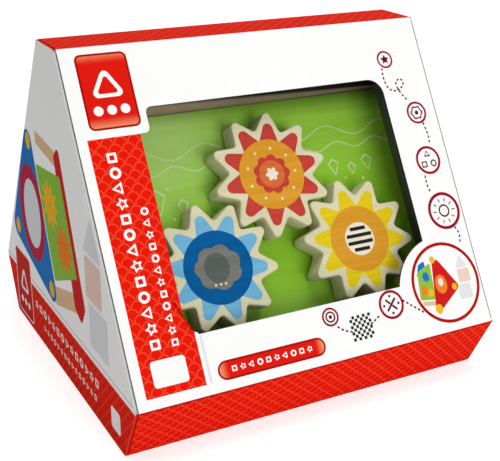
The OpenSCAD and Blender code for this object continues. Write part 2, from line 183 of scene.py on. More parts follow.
def bright_metal(name, tones, roughness, ripple):
    """Polished metal: two close tones and a bump that lies at the size of the ripple, in millimetres."""
    material, tree, shader = surface(name, {"Metallic": 1.0, "Roughness": roughness})
    place = add(tree, "TexCoord", {}).outputs["Object"]
    wave = add(tree, "TexNoise", {"Vector": place, "Scale": 1 / (ripple * MM), "Detail": 2})
    colour = add(tree, "Mix", {0: wave, 6: tones[0], 7: tones[1]}, data_type="RGBA")
    bump = add(tree, "Bump", {"Height": wave, "Strength": 0.04, "Distance": 0.1 * ripple * MM})
    connect(shader, {"Base Color": colour, "Normal": bump})
    return material


dress(bright_metal("zinc_plate", ("#B9BCC0", "#CDCFD1"), 0.34, 1.5), "screws_left", "screws_right")
dress(bright_metal("silvered_sheet", ("#DDE2E4", "#E6EAEB"), 0.05, 30.0), "mirror")
dress(painted_wood("yellow_satin_paint", ("#EDB413", "#F3BF22")), "corner_caps_left", "corner_caps_right")
dress(painted_wood("red_ring_paint", ("#B8152A", "#C41E30")), "mirror_ring")

# Gear panel: 9 mm ply that carries the gears, printed satin green on its front face so that the grain
# shows through. Pale lines of hills and kites are printed over the green, clear of the gears' washers.
# The green's lighter ends are painted light, its pale place at the upper left a painted sheen, and its
# darkening under the rail painted shade.
panel_depth = 33.0
upper_light_span, lower_light_span = (110.0, 170.0), (65.0, 35.0)
sheen_at, sheen_reach, sheen_share = (-72.0, 168.0), 85.0, 0.5
shade_span, shade_lean, shade_share = (168.0, 183.0), 0.05, 0.75
ink_height, ink_step, ink_sink = 0.03, 0.012, 0.02
merge_distance = 0.004
panel_line = 0.9


def rounded(corners, radius, steps=6):
    """Outline of a polygon, anticlockwise, with an arc at each corner. The arc turns from the outward
    normal of one edge to that of the next, about a point that lies a radius inside both edges, or outside
    at a hollow."""
    corners = np.asarray(corners, float)
    ahead = np.roll(corners, -1, 0) - corners
    ahead /= np.linalg.norm(ahead, axis=1, keepdims=True)
    normal = np.column_stack([ahead[:, 1], -ahead[:, 0]])
    before = np.roll(normal, 1, 0)
    turn = np.arctan2(before[:, 0] * normal[:, 1] - before[:, 1] * normal[:, 0], (before * normal).sum(1))
    reach = (np.sign(turn) * radius)[:, None]
    centre = corners - reach * (before + normal) / (1 + (before * normal).sum(1, keepdims=True))
    angle = np.arctan2(before[:, 1], before[:, 0])[:, None] + turn[:, None] * np.linspace(0, 1, steps + 1)
    around = np.stack([np.cos(angle), np.sin(angle)], -1)
    return (centre[:, None] + reach[:, None] * around).reshape(-1, 2)


def disc(middle, radius, other=None, points=40):
    """Outline of a circle, or of an ellipse with another radius upwards."""
    angle = np.linspace(0, 2 * np.pi, points, endpoint=False)
    return np.asarray(middle) + np.column_stack([np.cos(angle) * radius, np.sin(angle) * (other or radius)])


def lifted(line, lift):
    """Flat points, all put at one height off the face."""
    return np.column_stack([line, np.full(len(line), lift)])


def plate(outer, inner=None, level=0):
    """A thin closed plate of ink: the outline is carried from the inner edge over the ink's top to the
    outer edge, and back under the face. With no inner outline the plate closes on the middle of its box. A
    higher level lies on the inks below it."""
    if inner is None:
        inner = np.broadcast_to((outer.min(0) + outer.max(0)) / 2, outer.shape)
    top = ink_height + ink_step * level
    corners = [(inner, top), (outer, top), (outer, -ink_sink), (inner, -ink_sink)]
    return np.stack([lifted(line, lift) for line, lift in corners])


def outline_of(shape, share):
    """A printed line round a shape: a plate between the shape and the same shape drawn in to a share."""
    middle = (shape.min(0) + shape.max(0)) / 2
    return plate(shape, middle + (shape - middle) * share)


def ribbon(path, width, level=0):
    """A strip of ink along an open line: each point carries a section of four corners, half the width to
    either side, and each end closes on its middle."""
    ahead = np.gradient(path, axis=0)
    ahead /= np.linalg.norm(ahead, axis=1, keepdims=True)
    side = np.column_stack([-ahead[:, 1], ahead[:, 0]]) * width / 2
    top = ink_height + ink_step * level
    corners = [(-1, -ink_sink), (-1, top), (1, top), (1, -ink_sink)]
    grid = np.stack([lifted(path + way * side, lift) for way, lift in corners], 1)
    ends = np.broadcast_to(grid[[0, -1]].mean(1, keepdims=True), (2, 4, 3))
    return np.concatenate([ends[:1], grid, ends[1:]])


def build(name, grids, place, body, material, sharp=None):
    """One piece from closed grids of (across, up, lift) in millimetres, which place() puts in the frame. A
    grid wraps round along its rows, and from its last row to its first unless they shrink to points, which
    are then its poles. The flat places stay on the points as print_mm, for patterns on the sheet."""
    points, faces, used = [], [], 0
    for grid in grids:
        index = used + np.arange(grid.shape[0] * grid.shape[1]).reshape(grid.shape[:2])
        beside, below = np.roll(index, -1, 1), np.roll(index, -1, 0)
        quads = np.stack([index, beside, np.roll(beside, -1, 0), below], -1)
        has_poles = not np.ptp(grid[0], 0).any()
        faces.append(quads[:len(grid) - has_poles].reshape(-1, 4))
        points.append(grid.reshape(-1, 3))
        used += index.size
    points = np.concatenate(points)
    mesh = bpy.data.meshes.new(name)
    mesh.from_pydata(place(*points.T).tolist(), [], np.concatenate(faces).tolist())
    flat = mesh.attributes.new("print_mm", "FLOAT_VECTOR", "POINT")
    flat.data.foreach_set("vector", points.astype(np.float32).ravel())
    shell = bmesh.new()
    shell.from_mesh(mesh)
    bmesh.ops.remove_doubles(shell, verts=shell.verts, dist=merge_distance * MM)
    bmesh.ops.recalc_face_normals(shell, faces=shell.faces)
    shell.to_mesh(mesh)
    shell.free()
    if sharp is not None:
        mesh.shade_smooth()
        mesh.set_sharp_from_angle(angle=np.radians(sharp))
    mesh.materials.append(material)
    piece = bpy.data.objects.new(name, mesh)
    bpy.context.scene.collection.objects.link(piece)
    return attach(piece, body)


def on_front(across, up, lift):
    """Distances across and up the sloped front and off its face, as points in metres."""
    depth = up * slope_cos - lift * slope_sin - widest_depth / 2
    height = up * slope_sin + lift * slope_cos + widest_height
    return np.column_stack([across, depth, height]) * MM


def on_panel(across, up, lift):
    """The same for the gear panel's face, which lies behind the front."""
    return on_front(across, up, lift - panel_depth)


def print_and_painted_light_ply(name, wood, middle, ends, pale, shade):
    """Ply with a print on the face that looks out of the sloped front: the grain shows in both. Over the
    print, lighter tones towards its upper and lower ends are painted light, a paler place at its upper left
    is a painted sheen, and darkening near the rail, a little lower towards the right, is painted shade. The
    ends, the place and the shade's span are millimetres across and up the front."""
    material, tree, shader = surface(name, {"Roughness": 0.4, "Specular IOR Level": 0.1})
    dark, fibres = grain(tree, front_tilt, 7.0)
    coords = add(tree, "TexCoord", {}).outputs
    facing = add(tree, "VectorMath", {0: coords["Normal"], 1: (0, -slope_sin, slope_cos)},
                 operation="DOT_PRODUCT")
    front = add(tree, "MapRange", {"Value": facing, "From Min": 0.9, "From Max": 0.95})
    reach = add(tree, "VectorMath", {0: coords["Object"], 1: on_panel(*sheen_at, 0)[0]},
                operation="DISTANCE")
    glow = add(tree, "MapRange", {"Value": reach, "From Max": sheen_reach * MM, "To Min": sheen_share,
                                  "To Max": 0.0}, interpolation_type="SMOOTHSTEP")
    foot = np.dot((-widest_depth / 2, widest_height), (slope_cos, slope_sin))
    rise, leaning_rise = [add(tree, "VectorMath", {0: coords["Object"], 1: (lean, slope_cos, slope_sin)},
                              operation="DOT_PRODUCT") for lean in (0, shade_lean)]
    spans = [(rise, upper_light_span, 1.0), (rise, lower_light_span, 1.0), (leaning_rise, shade_span, shade_share)]
    upper, lower, under = [add(tree, "MapRange", {"Value": up, "From Min": (foot + first) * MM,
                                                  "From Max": (foot + last) * MM, "To Max": most})
                           for up, (first, last), most in spans]
    outer = add(tree, "Math", {0: upper, 1: lower}, operation="MAXIMUM")
    bare, colour, end = [add(tree, "Mix", {0: dark, 6: tones[0], 7: tones[1]}, data_type="RGBA")
                         for tones in (wood, middle, ends)]
    # Painted light, a painted sheen and painted shade over the print's middle tones.
    for share, tone in ((outer, end), (glow, pale), (under, shade)):
        colour = add(tree, "Mix", {0: share, 6: colour, 7: tone}, data_type="RGBA")
    colour = add(tree, "Mix", {0: front, 6: bare, 7: colour}, data_type="RGBA")
    bump = add(tree, "Bump", {"Height": fibres, "Strength": 0.1, "Distance": 0.2 * MM})
    connect(shader, {"Base Color": colour, "Normal": bump})
    return material


def stain(name, tones):
    """Satin ink printed on wood: two close tones that follow the grain under it."""
    material, tree, shader = surface(name, {"Roughness": 0.45, "Specular IOR Level": 0.05})
    dark, fibres = grain(tree, front_tilt, 4.0)
    colour = add(tree, "Mix", {0: dark, 6: tones[0], 7: tones[1]}, data_type="RGBA")
    bump = add(tree, "Bump", {"Height": fibres, "Strength": 0.1, "Distance": 0.2 * MM})
    connect(shader, {"Base Color": colour, "Normal": bump})
    return material


def kite(across, up, width, height):
    """A line drawing of a kite with eased corners."""
    corners = np.array([(0, -0.62), (0.5, 0.1), (0, 0.38), (-0.5, 0.1)]) * (width, height) + (across, up)
    return outline_of(rounded(corners, 0.9), 1 - 2.2 / width)


dress(print_and_painted_light_ply("green_printed_ply", ply_tones, ("#8CC230", "#80B825"), ("#A3DA4E", "#96CF3E"), "#C4E094",
                  "#1E3005"), "gear_panel")
hills = np.linspace(-107, 107, 164)
panel_lines = [ribbon(np.column_stack([hills, 153 + 4.0 * np.sin(hills / 7.4)]), panel_line),
               ribbon(np.column_stack([hills, 142.5 + 2.6 * np.sin(hills / 4.9 + 1)]), panel_line)]
panel_lines += [kite(*place) for place in ((-75, 125, 13, 19), (-58, 119, 8, 12), (58, 129, 9, 13),
                                           (72, 126, 7, 10), (85, 129, 9, 13))]
panel_lines += [plate(disc(place, 0.9, points=16))
                for place in ((-66, 131), (-83, 113), (-66, 111), (65, 119), (79, 117))]
build("panel_line_print", panel_lines, on_panel, "carton_and_frame",
      stain("pale_green_print", ("#CBE0A8", "#BDD592")))

# Star gears: three thick stars of ten teeth, sawn from maple and sanded, with eased edges and a blind hole
# at the back for the peg. They mesh, and each spins on its own peg.
gear_depth, gear_thickness, gear_ease, face_margin = 15.0, 16.0, 1.0, 0.3
gear_tip, gear_root, tip_round, valley_round = 41.5325, 30.3325, 3.2, 2.4
peg_hole, peg_hole_depth, peg_hole_ease = 5.05, 12.0, 0.3
teeth = 10
half_pitch = 180 / teeth


def star(tip, root, tip_arc, valley_arc, inset=0.0, turn=0.0, steps=6):
    """Outline of a star: each tooth is an arc about its tip, a straight flank and an arc about the valley,
    repeated round the axis. An inset moves the outline in: tip arcs shrink by it and valley arcs grow."""
    half = np.radians(half_pitch)
    tip_at, valley_at = tip - tip_arc + 0j, (root + valley_arc) * np.exp(1j * half)
    between = valley_at - tip_at
    flank = np.angle(between) - np.arccos((tip_arc + valley_arc) / abs(between))
    share = np.linspace(0, 1, steps + 1)
    over = tip_at + (tip_arc - inset) * np.exp(1j * flank * (2 * share - 1))
    under = valley_at + (valley_arc + inset) * np.exp(1j * (np.pi + flank + (2 * half - 2 * flank) * share))
    tooth = np.concatenate([over, under])
    whole = (np.exp(1j * (np.radians(turn) + 2 * half * np.arange(teeth)))[:, None] * tooth).ravel()
    return np.column_stack([whole.real, whole.imag])


def gear_grid(turn):
    """The gear as one skin: from the middle of the front face out to the eased edge, down the teeth, in
    over the back to the peg hole, and up to the middle of the hole's floor."""
    ease = np.linspace(0, np.pi / 2, 5)
    inset, drop = gear_ease * (1 - np.sin(ease)), gear_ease * (1 - np.cos(ease))
    margin = [gear_ease + face_margin]
    insets = np.concatenate([margin, inset, inset[::-1], margin])
    lifts = np.concatenate([[0], -drop, (drop - gear_thickness)[::-1], [-gear_thickness]])
    rows = [lifted(star(gear_tip, gear_root, tip_round, valley_round, reach, turn), lift)
            for reach, lift in zip(insets, lifts)]
    spoke = rows[0][:, :2] / np.linalg.norm(rows[0][:, :2], axis=1, keepdims=True)
    floor_lift = peg_hole_depth - gear_thickness
    hole = [(peg_hole + 2 * peg_hole_ease, -gear_thickness), (peg_hole + peg_hole_ease, -gear_thickness),
            (peg_hole, peg_hole_ease - gear_thickness), (peg_hole, floor_lift), (0, floor_lift)]
    back = [lifted(spoke * radius, lift) for radius, lift in hole]
    return np.stack([rows[0] * (0, 0, 1), *rows, *back])


def on_gear(axis):
    """Places a grid about a gear's axis, from its front face."""
    return lambda across, up, lift: on_front(across + axis[0], up + axis[1], lift - gear_depth)


def axis_of(joint):
    """Where a gear's axis stands, across and up the front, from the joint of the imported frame."""
    x, y, z = np.array(joint["pos_m"]) / MM
    return np.array([x, (y + widest_depth / 2) * slope_cos + (z - widest_height) * slope_sin])


joints = {joint["name"]: joint for joint in frame["joints"]}
axes = {name: axis_of(joints[name + "_gear_spin"]) for name in ("upper", "lower_left", "lower_right")}
gear_turn = {"upper": half_pitch / 2}
for name in ("lower_left", "lower_right"):
    toward = np.degrees(np.arctan2(*(axes[name] - axes["upper"])[::-1]))
    gear_turn[name] = 2 * toward + 180 + half_pitch - gear_turn["upper"]
gear_wood = bare_wood("sanded_maple", ("#DAD6B3", "#CFCAA3"), front_tilt, 6.0)
for name, axis in axes.items():
    gear = build("star_gear_" + name, [gear_grid(gear_turn[name])], on_gear(axis), name + "_gear",
                 gear_wood, sharp=40)
    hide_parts("gear_" + name)

# Prints on the gears: a star of petals that follows the teeth, a disc over its middle and a plain figure
# on that. The ink is thin and satin, so the grain shows in it.
crossing_reach, crossing_margin, crossing_width = 10.4, 1.5, 2.4


def petals(name):
    """The star of petals on a gear, turned as its teeth are."""
    return star(34.1, 23.2, 3.6, 1.3, turn=gear_turn[name])


def scallop(middle, radius, lobes, depth, stretch=1.0, turn=0.0):
    """Outline of a cloud or a flower: a circle that swells at each lobe by a share of a cosine's size."""
    angle = np.linspace(0, 2 * np.pi, lobes * 12, endpoint=False)
    reach = radius * (1 - depth + depth * np.abs(np.cos(lobes * (angle - np.radians(turn)) / 2)))
    return np.asarray(middle) + np.column_stack([reach * np.cos(angle) * stretch, reach * np.sin(angle)])


def bar(middle, length, width, radius=0.45, turn=0.0):
    """Outline of a bar or a rectangle with round corners, turned in its plane."""
    half = np.array([(-length, -width), (length, -width), (length, width), (-length, width)]) / 2
    spin = np.radians(turn)
    turned = np.array([(np.cos(spin), np.sin(spin)), (-np.sin(spin), np.cos(spin))])
    return np.asarray(middle) + rounded(half, radius) @ turned


stains = {name: stain(name + "_gear_print", tones) for name, tones in {
    "red": ("#C4443A", "#B93A31"), "yellow": ("#E4CB1E", "#D9BE14"), "sky_blue": ("#74B5D8", "#69AACE"),
    "orange": ("#DB9C30", "#D09024"), "blue": ("#025C9A", "#02528C"), "grey": ("#7A7C74", "#6E7068"),
    "slate": ("#5C635F", "#525853"), "black": ("#24241F", "#1C1C18"), "cream": ("#EFE8D2", "#E4DBBF"),
    "rust": ("#D9703A", "#CC622E")}.items()}
dots = [disc(place, 0.9, points=16) for place in disc((0, 0), 17.2, points=9)]
crossing = [bar((0, up), np.sqrt(crossing_reach ** 2 - (abs(up) + crossing_margin) ** 2) * 2,
                crossing_width) for up in (-7, -2.4, 2.4, 7)]
gear_prints = {
    "upper": [("red", [petals("upper")]), ("orange", [disc((0, 0), 23.2, points=72)]),
              ("red", [scallop((0, 0), 13.2, 9, 0.16)]), ("rust", [disc((0, 0), 9.2)]),
              ("cream", [scallop((0, 0), 4.6, 6, 0.35), *dots])],
    "lower_right": [("yellow", [petals("lower_right")]), ("orange", [disc((0, 0), 22.2, points=72)]),
                    ("cream", [disc((0, 0), 11.2)]), ("black", crossing)],
    "lower_left": [("sky_blue", [petals("lower_left")]), ("blue", [disc((0, 0), 23.4, points=72)]),
                   ("grey", [scallop((0, 0), 14.5, 7, 0.13, 1.12, 20)]),
                   ("slate", [disc((-1, 0), 8.6, 9.6)]),
                   ("cream", [disc((across, -10.6), 0.8, points=16) for across in (-4.5, -1, 2.5)])]}
for name, layers in gear_prints.items():
    for level, (tone, outlines) in enumerate(layers):
        build(f"star_gear_{name}_print_{level}", [plate(outline, level=level) for outline in outlines],
              on_gear(axes[name]), name + "_gear", stains[tone])

# Pegs and washers: a turned beech peg is glued in each gear and held by a head behind the panel, and a
# washer of pressed fibre keeps the gear clear of the print.
dress(beech, "peg_upper", "peg_lower_left", "peg_lower_right")


def pressed_fibre(name, tones):
    """Dull pressed fibre, flecked at 0.6 mm, with a felted bump of the same size."""
    material, tree, shader = surface(name, {"Roughness": 0.85, "Specular IOR Level": 0.15})
    place = add(tree, "TexCoord", {}).outputs["Object"]
    fleck = add(tree, "TexNoise", {"Vector": place, "Scale": 1 / (0.6 * MM), "Detail": 4})
    colour = add(tree, "Mix", {0: fleck, 6: tones[0], 7: tones[1]}, data_type="RGBA")
    bump = add(tree, "Bump", {"Height": fleck, "Strength": 0.2, "Distance": 0.3 * MM})
    connect(shader, {"Base Color": colour, "Normal": bump})
    return material


dress(pressed_fibre("pressed_fibre", ("#B9B2A2", "#D3CDBF")), "washer_upper", "washer_lower_left",
      "washer_lower_right")

# Carton wrap: one sheet of white-lined folding board, cut, creased along six folds and glued inside the
# back. The outside is clay coated and varnished, so it is smooth with a soft gloss. The inside and the cut
# edges show the dull fibre of the middle plies, and so do the dust flaps, but the cut edges round the
# window carry dark painted shade.
carton_length, board = 260.0, 1.5
heart_height = 90.0
slope_span = np.array([widest_height, carton_height - 1.0])
window_room, cut_margin = 5.0, 0.05
board_white = ("#F8F8F7", "#FCFCFB")
red_edge, window_edge_shade = ("#CE1206", "#D81B0A"), ("#211F1B", "#302D27")


def lined_board(name, outward, edge_tones=None, end_ink=None, window_shade=None):
    """White-lined board. The coated face is the one that looks away from the carton's middle along the
    axes in outward; every other face is fibre, flecked at 0.8 mm, coarser than real fibre so that it
    shows. The coating is faintly mottled at 14 mm. Edge tones run over the faces that don't look along X:
    the first, a print colour, above and below the slope, the second along it; a grey there is painted
    shade. An end ink runs over the cut ends, which look along X, above and below the slope. A window
    shade, dark painted shade, runs over the cut edges of the sloped front, as deep as the board and clear
    of the ends of the carton."""
    material, tree, shader = surface(name, {"Specular IOR Level": 0.02})
    coords = add(tree, "TexCoord", {}).outputs
    away = add(tree, "VectorMath", {0: coords["Object"], 1: (0, 0, heart_height * MM)},
               operation="SUBTRACT")
    away = add(tree, "VectorMath", {0: away, 1: outward}, operation="MULTIPLY")
    facing = add(tree, "VectorMath", {0: away, 1: coords["Normal"]}, operation="DOT_PRODUCT")
    coated = add(tree, "MapRange", {"Value": facing, "From Min": 12 * MM, "From Max": 20 * MM})
    mottle = add(tree, "TexNoise", {"Vector": coords["Object"], "Scale": 1 / (14 * MM), "Detail": 3})
    fleck = add(tree, "TexNoise", {"Vector": coords["Object"], "Scale": 1 / (0.8 * MM), "Detail": 4})
    white = add(tree, "Mix", {0: mottle, 6: board_white[0], 7: board_white[1]}, data_type="RGBA")
    fibre = add(tree, "Mix", {0: fleck, 6: "#756D61", 7: "#A39A8C"}, data_type="RGBA")
    place = add(tree, "SeparateXYZ", {0: coords["Object"]}).outputs
    normal = add(tree, "SeparateXYZ", {0: coords["Normal"]}).outputs
    sloped = add(tree, "Math", {0: place["Z"], 1: slope_span.mean() * MM, 2: np.ptp(slope_span) / 2 * MM},
                 operation="COMPARE")
    edge = add(tree, "Math", {0: normal["X"], 1: 0.0, 2: 0.5}, operation="COMPARE")
    if edge_tones:
        level, slant = [add(tree, "Mix", {0: mottle, 6: tones[0], 7: tones[1]}, data_type="RGBA")
                        for tones in edge_tones]
        ink_and_shade = add(tree, "Mix", {0: sloped, 6: level, 7: slant}, data_type="RGBA")
        white = add(tree, "Mix", {0: edge, 6: white, 7: ink_and_shade}, data_type="RGBA")
    if end_ink:
        bare = add(tree, "Math", {0: sloped, 1: edge}, operation="MAXIMUM")
        ink_and_shade = add(tree, "Mix", {0: mottle, 6: end_ink[0], 7: end_ink[1]}, data_type="RGBA")
        fibre = add(tree, "Mix", {0: bare, 6: ink_and_shade, 7: fibre}, data_type="RGBA")
    # Dark painted shade on the cut edges round the window.
    if window_shade:
        depth = add(tree, "VectorMath", {0: coords["Object"], 1: (0, slope_sin, -slope_cos)},
                    operation="DOT_PRODUCT")
        cut = add(tree, "Math", {0: depth, 1: (front_reach + board / 2) * MM,
                                 2: (board / 2 - cut_margin) * MM}, operation="COMPARE")
        inner = add(tree, "Math", {0: place["X"], 1: 0.0, 2: (carton_length / 2 - window_room) * MM},
                    operation="COMPARE")
        both = add(tree, "Math", {0: cut, 1: inner}, operation="MULTIPLY")
        ink_and_shade = add(tree, "Mix", {0: fleck, 6: window_shade[0], 7: window_shade[1]}, data_type="RGBA")
        fibre = add(tree, "Mix", {0: both, 6: fibre, 7: ink_and_shade}, data_type="RGBA")
    colour = add(tree, "Mix", {0: coated, 6: fibre, 7: white}, data_type="RGBA")
    rough = add(tree, "MapRange", {"Value": coated, "To Min": 0.85, "To Max": 0.4})
    bump = add(tree, "Bump", {"Height": fleck, "Strength": 0.06, "Distance": 0.4 * MM})
    connect(shader, {"Base Color": colour, "Roughness": rough, "Normal": bump})
    return material


dress(lined_board("white_lined_board", (0, 1, 1), end_ink=red_edge, window_shade=window_edge_shade), "carton_wrap")
dress(lined_board("unlined_board", (0, 0, 0)), "dust_flap_base_left", "dust_flap_base_right",
      "dust_flap_top_left", "dust_flap_top_right")

# Red print on the top and on the lower bands of the wrap: solid red ink under varnish, run over the folds.
# Lighter arches repeat over all the red, in rows like roof tiles, and a dark red line of painted shade
# runs along the crease of the fold under the front. The ink is a film a few hundredths thick.
base_depth = 222.0
wrap_print_length = carton_length - 3.6
fold_radius, fold_steps = 2.0, 8
tile_pitch = 8.5
arch_radius, arch_line, arch_share = 0.43, 0.09, 0.75


def patterned_ink(name, ground, line):
    """Varnished red ink with small arches in staggered rows, half as high as they are wide. An arch is
    where the distance from the middle of a tile's foot equals its radius, within half a line. The radius
    and the line are shares of a tile. The solid ink is mottled at 6 mm."""
    material, tree, shader = surface(name, {"Roughness": 0.4, "Specular IOR Level": 0.001})
    sheet = add(tree, "Attribute", {}, attribute_name="print_mm").outputs["Vector"]
    cell = add(tree, "VectorMath", {0: sheet, 1: (1 / tile_pitch, 2 / tile_pitch, 0)}, operation="MULTIPLY")
    tile = add(tree, "SeparateXYZ", {0: cell}).outputs
    row = add(tree, "Math", {0: tile["Y"]}, operation="FLOOR")
    across = add(tree, "Math", {0: row, 1: 0.5, 2: tile["X"]}, operation="MULTIPLY_ADD")
    place = add(tree, "CombineXYZ", {0: across, 1: tile["Y"]})
    place = add(tree, "VectorMath", {0: place}, operation="FRACTION")
    place = add(tree, "VectorMath", {0: place, 1: (1, 0.5, 0)}, operation="MULTIPLY")
    reach = add(tree, "VectorMath", {0: place, 1: (0.5, 0, 0)}, operation="DISTANCE")
    arch = add(tree, "Math", {0: reach, 1: arch_radius, 2: arch_line / 2}, operation="COMPARE")
    share = add(tree, "Math", {0: arch, 1: arch_share}, operation="MULTIPLY")
    mottle = add(tree, "TexNoise", {"Vector": sheet, "Scale": 1 / 6, "Detail": 4})
    solid = add(tree, "Mix", {0: mottle, 6: ground[0], 7: ground[1]}, data_type="RGBA")
    connect(shader, {"Base Color": add(tree, "Mix", {0: share, 6: solid, 7: line}, data_type="RGBA")})
    return material


def plain_ink(name, tones):
    """Solid printing ink under varnish: two close tones, mottled at 3 mm as ink lies on coated board."""
    material, tree, shader = surface(name, {"Roughness": 0.38, "Specular IOR Level": 0.002})
    sheet = add(tree, "Attribute", {}, attribute_name="print_mm").outputs["Vector"]
    mottle = add(tree, "TexNoise", {"Vector": sheet, "Scale": 1 / 3, "Detail": 5})
    colour = add(tree, "Mix", {0: mottle, 6: tones[0], 7: tones[1]}, data_type="RGBA")
    connect(shader, {"Base Color": colour})
    return material


section = [(-base_depth / 2, 0), (base_depth / 2, 0), (widest_depth / 2, widest_height),
           (top_depth / 2, carton_height), (-top_depth / 2, carton_height),
           (-widest_depth / 2, widest_height)]
fold_points = fold_steps + 1
wrap_line = rounded(section, fold_radius, fold_steps)
wrap_line = np.concatenate([wrap_line, wrap_line[:fold_points * 2]])
stations = np.concatenate([[0], np.cumsum(np.linalg.norm(np.diff(wrap_line, axis=0), axis=1))])
tangent = np.gradient(wrap_line, stations, axis=0)
wrap_normal = np.column_stack([tangent[:, 1], -tangent[:, 0]])
fold_middle = np.arange(len(section) + 1) * fold_points + fold_steps // 2


def on_wrap(across, round_wrap, lift):
    """A distance along the carton, one round its section and one off its face, as points in metres."""
    line = [np.interp(round_wrap, stations, wrap_line[:, i])
            + lift * np.interp(round_wrap, stations, wrap_normal[:, i]) for i in (0, 1)]
    return np.column_stack([across, *line]) * MM


def wrap_strip(first, last, level=0):
    """A strip of ink as long as the carton, carried from one point of the wrap's section to another."""
    path = stations[first:last + 1]
    return ribbon(np.column_stack([np.zeros(len(path)), path]), wrap_print_length, level)


red_ink = patterned_ink("varnished_red_ink", ("#E51407", "#EC1F0C"), "#F25438")
build("red_wrap_print", [wrap_strip(fold_middle[i], fold_middle[i + 1]) for i in (1, 3, 5)], on_wrap,
      "carton_and_frame", red_ink)
rim_ink_and_crease_shade = plain_ink("dark_red_print_and_crease_shade", ("#9E0F0B", "#AA1710"))
# A dark red line of painted shade along the crease under the front.
build("crease_shade_line", [wrap_strip(fold_middle[5], fold_middle[5] + fold_steps // 2, 1)], on_wrap,
      "carton_and_frame", rim_ink_and_crease_shade)

# Red band, badge and pill on the front: flat ink on the sloped face, with plain white marks left in it.
# The badge and the pill are drawn like glossy buttons, with a dark rim and paler ends.
badge_low, badge_high = np.array([-119.0, 166.0]), np.array([-86.0, 213.4])
badge_middle, badge_size = (badge_low + badge_high) / 2, badge_high - badge_low
badge_rim, badge_round = 1.3, 4.0
pill_middle, pill_size = np.array([-38.0, 11.9]), np.array([74.6, 11.7])
pill_rim, pill_round = 1.2, 5.8


def arc(centre, radius, start, end, steps=8):
    """Points of a circle from one direction to another, in degrees."""
    angle = np.radians(np.linspace(start, end, steps + 1))
    return np.asarray(centre) + np.column_stack([np.cos(angle), np.sin(angle)]) * radius


def figure(middle, sides, radius, hollow=1.0, turn=90.0, ease=0.3):
    """Outline of an even polygon or, with a hollow below 1, of a star whose valleys lie at that share."""
    count = sides * (2 if hollow < 1 else 1)
    angle = np.radians(turn) + 2 * np.pi * np.arange(count) / count
    reach = radius * np.where(np.arange(count) % 2, hollow, 1.0)
    corners = np.column_stack([np.cos(angle), np.sin(angle)]) * reach[:, None]
    return rounded(np.asarray(middle) + corners, ease)


def button_ink(name, axis, middle, start, end):
    """Glossy red that turns to pale orange between two distances from a middle along one axis of the
    print, mottled at 4 mm."""
    material, tree, shader = surface(name, {"Roughness": 0.35, "Specular IOR Level": 0.02})
    sheet = add(tree, "Attribute", {}, attribute_name="print_mm").outputs["Vector"]
    place = add(tree, "SeparateXYZ", {0: sheet}).outputs[axis]
    offset = add(tree, "Math", {0: place, 1: middle}, operation="SUBTRACT")
    offset = add(tree, "Math", {0: offset}, operation="ABSOLUTE")
    mottle = add(tree, "TexNoise", {"Vector": sheet, "Scale": 1 / 4, "Detail": 3})
    offset = add(tree, "Math", {0: mottle, 1: 0.8, 2: offset}, operation="MULTIPLY_ADD")
    share = add(tree, "MapRange", {"Value": offset, "From Min": start, "From Max": end},
                interpolation_type="SMOOTHSTEP")
    colour = add(tree, "Mix", {0: share, 6: "#DF1A0E", 7: "#F39A6E"}, data_type="RGBA")
    connect(shader, {"Base Color": colour})
    return material


def mark(kind, middle, size, share):
    """Outline of a plain mark drawn at a share of its size: a square, a star, a triangle or a disc."""
    reach = size * share
    return [bar(middle, reach * 1.7, reach * 1.7, 0.4 * share),
            figure(middle, 5, reach * 1.2, 0.5, 180, 0.3 * share),
            figure(middle, 3, reach * 1.25, turn=180, ease=0.3 * share),
            disc(middle, reach, points=28)][kind]


def mark_row(first, step, count, size, level):
    """A row of plain line marks from a first place, in even steps, with the four kinds in turn."""
    middles = np.asarray(first) + np.outer(np.arange(count), step)
    return [plate(mark(i % 4, middle, size, 1), mark(i % 4, middle, size, 0.5), level)
            for i, middle in enumerate(middles)]


def prism_sign(middle, corners, pull, dot_drop, dot_radius, level):
    """A plain triangle in line over three dots. The line's inner edge is the triangle drawn in to a share
    of 0.62, about a point that lies a pull above the middle."""
    outer = np.array(corners) + middle
    inner = outer * 0.62 + (middle + (0, pull)) * 0.38
    spots = [plate(disc(middle + (across, -dot_drop), dot_radius), level=level)
             for across in (-8.5, 0, 8.5)]
    return [plate(rounded(outer, 3), rounded(inner, 1.4), level), *spots]


def print_on_front(name, grids, material):
    """A printed piece on the sloped front of the wrap."""
    build(name, grids, on_front, "carton_and_frame", material)


white_ink = plain_ink("white_print", board_white)
badge_ink = button_ink("badge_print", "Y", badge_middle[1] + 0.8, badge_size[1] / 2 - 7.0,
                       badge_size[1] / 2 + 2.5)
pill_ink = button_ink("pill_print", "X", pill_middle[0], pill_size[0] / 2 - 7.0, pill_size[0] / 2)
window_corner = arc((-77.5, 47.4), 11.0, 233.8, 180.0)
red_band = np.concatenate([[(-122.0, 6.5), (-84.0, 6.5)], window_corner, [(-88.5, 161.0), (-122.0, 161.0)]])
print_on_front("red_front_print", [plate(red_band)], red_ink)
badge_face = bar(badge_middle, *(badge_size - 2 * badge_rim), badge_round - badge_rim)
pill_face = bar(pill_middle, *(pill_size - 2 * pill_rim), pill_round - pill_rim)
print_on_front("badge_print", [plate(badge_face, level=1)], badge_ink)
print_on_front("pill_print", [plate(pill_face, level=1)], pill_ink)
print_on_front("button_rims", [plate(bar(badge_middle, *badge_size, badge_round)),
                               plate(bar(pill_middle, *pill_size, pill_round))], rim_ink_and_crease_shade)
marks = prism_sign(badge_middle, [(-11.5, -4), (11.5, -4), (0, 15.5)], 2, 12, 3, 2)
marks += mark_row((-109.5, 36), (0, 9.4), 13, 3.6, 1) + mark_row((-97.2, 35), (0, 7.2), 12, 2.5, 1)
